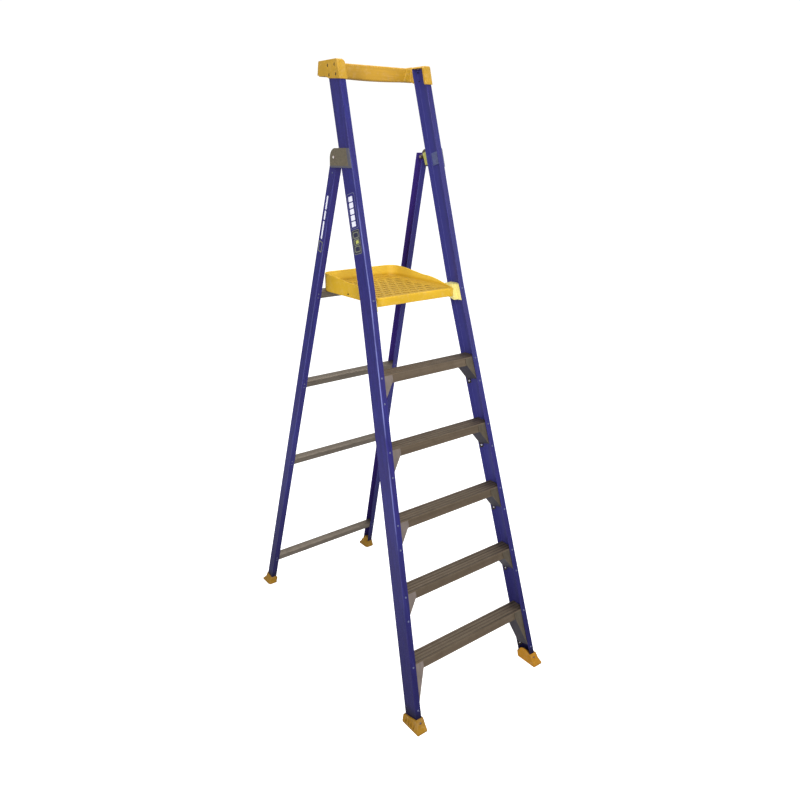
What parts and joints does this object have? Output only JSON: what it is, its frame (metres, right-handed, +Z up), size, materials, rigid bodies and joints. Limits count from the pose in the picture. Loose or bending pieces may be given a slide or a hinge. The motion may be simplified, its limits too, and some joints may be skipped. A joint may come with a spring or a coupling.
{
  "type": "platform step ladder",
  "caption": "Free-standing fibreglass platform step ladder with ribbed treads, a rimmed tray platform, a guard handrail and a folding rear frame.",
  "frame": {"origin": "centre of the footprint at floor level", "axes": "+X across the ladder, to the climber's right; +Y from the climbing side to the rear frame; +Z up"},
  "size_m": [0.738, 1.421, 2.594],
  "materials": {
    "stile_blue": "pultruded fibreglass channel, blue, satin, with fine lengthwise fibre streaks",
    "tread_aluminium": "mill-finish ribbed extrusion, dull",
    "brace_aluminium": "folded sheet, mill finish, dull",
    "rivet_metal": "plain rivet, slightly dull",
    "handrail_yellow": "moulded, fine grain, satin",
    "dark_rivet_metal": "darkened rivet, dull",
    "hinge_steel": "plated sheet, dull grey-brown",
    "backing_steel": "plated sheet, dull grey",
    "spacer_plastic": "moulded, dull yellow",
    "pin_steel": "zinc plated",
    "bracket_plastic": "moulded, pale yellow",
    "tray_yellow": "moulded, satin, slotted deck",
    "foot_plastic": "moulded, dull yellow-brown, scuffed"
  },
  "bodies": {
    "front_frame": {"front_stile_left": "stile_blue", "front_stile_right": "stile_blue", "tread_1": "tread_aluminium", "tread_2": "tread_aluminium", "tread_3": "tread_aluminium", "tread_4": "tread_aluminium", "tread_5": "tread_aluminium", "knee_brace_1_left": "brace_aluminium", "knee_brace_2_left": "brace_aluminium", "knee_brace_3_left": "brace_aluminium", "knee_brace_4_left": "brace_aluminium", "knee_brace_5_left": "brace_aluminium", "knee_brace_1_right": "brace_aluminium", "knee_brace_2_right": "brace_aluminium", "knee_brace_3_right": "brace_aluminium", "knee_brace_4_right": "brace_aluminium", "knee_brace_5_right": "brace_aluminium", "tread_rivets_left": "rivet_metal", "tread_rivets_right": "rivet_metal", "handrail_bar": "handrail_yellow", "handrail_cap_left": "handrail_yellow", "handrail_cap_right": "handrail_yellow", "handrail_rivets": "dark_rivet_metal", "hinge_plate_left": "hinge_steel", "hinge_plate_right": "hinge_steel", "hinge_backing_plate_left": "backing_steel", "hinge_backing_plate_right": "backing_steel", "hinge_rivets": "dark_rivet_metal", "hinge_spacer_left": "spacer_plastic", "hinge_spacer_right": "spacer_plastic", "hinge_pin_left": "pin_steel", "hinge_pin_right": "pin_steel", "hinge_sleeve_left": "pin_steel", "hinge_sleeve_right": "pin_steel", "hinge_nut_left": "pin_steel", "hinge_nut_right": "pin_steel", "platform_bracket_left": "bracket_plastic", "platform_bracket_right": "bracket_plastic", "platform_pin_left": "pin_steel", "platform_pin_right": "pin_steel", "platform_bracket_rivets": "rivet_metal", "front_foot_left": "foot_plastic", "front_foot_right": "foot_plastic", "front_foot_rivets": "rivet_metal"},
    "rear_frame": {"rear_rail_left": "stile_blue", "rear_rail_right": "stile_blue", "rear_bar_lower": "tread_aluminium", "rear_bar_middle": "tread_aluminium", "rear_bar_upper": "tread_aluminium", "platform_support_bar": "tread_aluminium", "rear_rivets_left": "rivet_metal", "rear_rivets_right": "rivet_metal", "rear_foot_left": "foot_plastic", "rear_foot_right": "foot_plastic", "rear_foot_rivets": "rivet_metal"},
    "platform": {"platform_tray": "tray_yellow"}
  },
  "joints": [
    {"name": "rear_frame_fold", "type": "hinge", "parent": "front_frame", "child": "rear_frame", "pos_m": [0, 0.02325, 2.241], "axis": [1, 0, 0], "range_deg": [-30.5, 0]},
    {"name": "platform_tilt", "type": "hinge", "parent": "front_frame", "child": "platform", "pos_m": [0, -0.1997, 1.693], "axis": [1, 0, 0], "range_deg": [0, 74.45]}
  ],
  "couplings": [
    {"joint": "platform_tilt", "follows": "rear_frame_fold", "ratio": -2.44}
  ]
}
